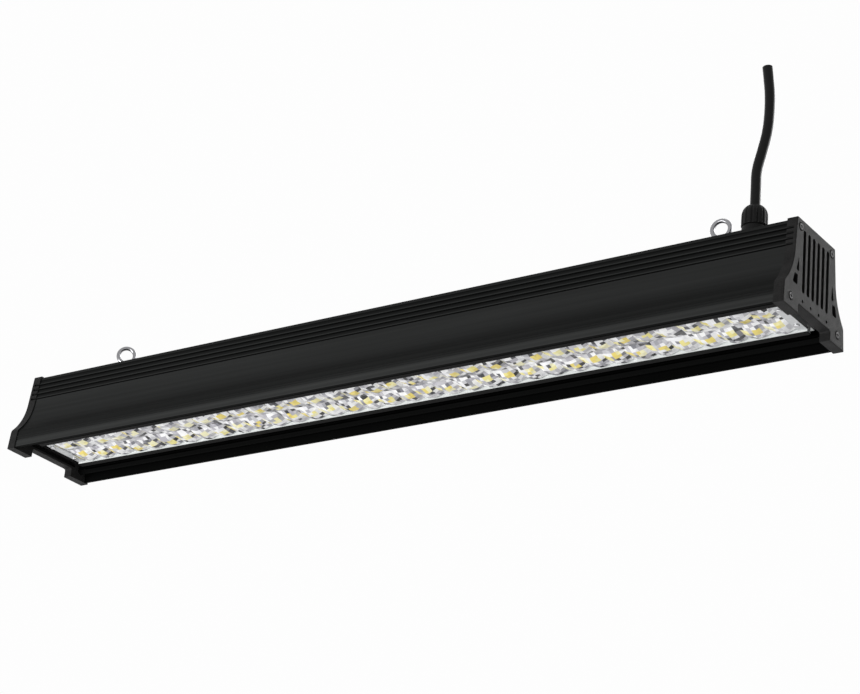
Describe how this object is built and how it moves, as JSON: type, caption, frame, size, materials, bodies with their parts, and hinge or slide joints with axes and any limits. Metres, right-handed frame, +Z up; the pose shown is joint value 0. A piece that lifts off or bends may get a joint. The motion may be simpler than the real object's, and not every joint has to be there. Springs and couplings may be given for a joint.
{
  "type": "linear LED high bay light",
  "caption": "Linear high bay light: ribbed black extrusion with slotted cast end caps, recessed lens plates, two lifting eyes and a cable gland with a short lead.",
  "frame": {"origin": "middle of the four cap feet, on the surface that they stand on", "axes": "+X along the lamp towards the cable gland, +Z up out of the flat top with the eyes, -Y the side that the gland is nearer to; light leaves towards -Z"},
  "size_m": [0.901, 0.1138, 0.2626],
  "materials": {
    "black_extrusion": "black anodised, satin, fine draw lines",
    "black_casting": "black powder coat over a cast skin, fine grain",
    "dark_screws": "blackened steel",
    "bright_screws": "zinc-plated",
    "white_board": "white solder mask on an aluminium core",
    "led_phosphor": "yellow phosphor in silicone",
    "clear_lens": "clear moulded optics",
    "seal_rubber": "black silicone",
    "bare_aluminium": "natural anodised",
    "copper_links": "tinned copper strip",
    "driver_grey": "grey anodised case, potted",
    "terminal_plastic": "off-white plastic",
    "wire_sheath": "single insulated wires",
    "cable_sheath": "black rubber sheath, satin",
    "black_nylon": "black glass-filled nylon",
    "bright_steel": "bright zinc-plated steel"
  },
  "bodies": {
    "root": {"board_links": "copper_links", "board_screws": "bright_screws", "cable_tail": "cable_sheath", "cap_screws_left": "dark_screws", "cap_screws_right": "dark_screws", "driver_case": "driver_grey", "driver_end_left": "driver_grey", "driver_end_right": "driver_grey", "driver_screws": "bright_screws", "end_cap_left": "black_casting", "end_cap_right": "black_casting", "end_strip_left": "bare_aluminium", "end_strip_right": "bare_aluminium", "end_strip_screws": "bright_screws", "eye_bolt_left": "bright_steel", "eye_bolt_right": "bright_steel", "eye_nuts_inner": "bright_steel", "eye_nuts_outer": "bright_steel", "eye_washers_inner": "bright_steel", "eye_washers_outer": "bright_steel", "gland_body": "black_nylon", "gland_locknut": "black_nylon", "gland_nut": "black_nylon", "gland_seal": "seal_rubber", "gland_washer": "seal_rubber", "housing": "black_extrusion", "lead_grommets": "seal_rubber", "led_board_1": "white_board", "led_board_2": "white_board", "led_board_3": "white_board", "led_chips_1": "led_phosphor", "led_chips_2": "led_phosphor", "led_chips_3": "led_phosphor", "lens_plate_1": "clear_lens", "lens_plate_2": "clear_lens", "lens_plate_3": "clear_lens", "lens_rail_back": "bare_aluminium", "lens_rail_front": "bare_aluminium", "lens_seal_1": "seal_rubber", "lens_seal_2": "seal_rubber", "lens_seal_3": "seal_rubber", "mains_wires": "wire_sheath", "output_lead": "cable_sheath", "power_cable": "cable_sheath", "rail_screws": "bright_screws", "terminal_block": "terminal_plastic", "terminal_screws": "bright_screws"}
  },
  "joints": []
}
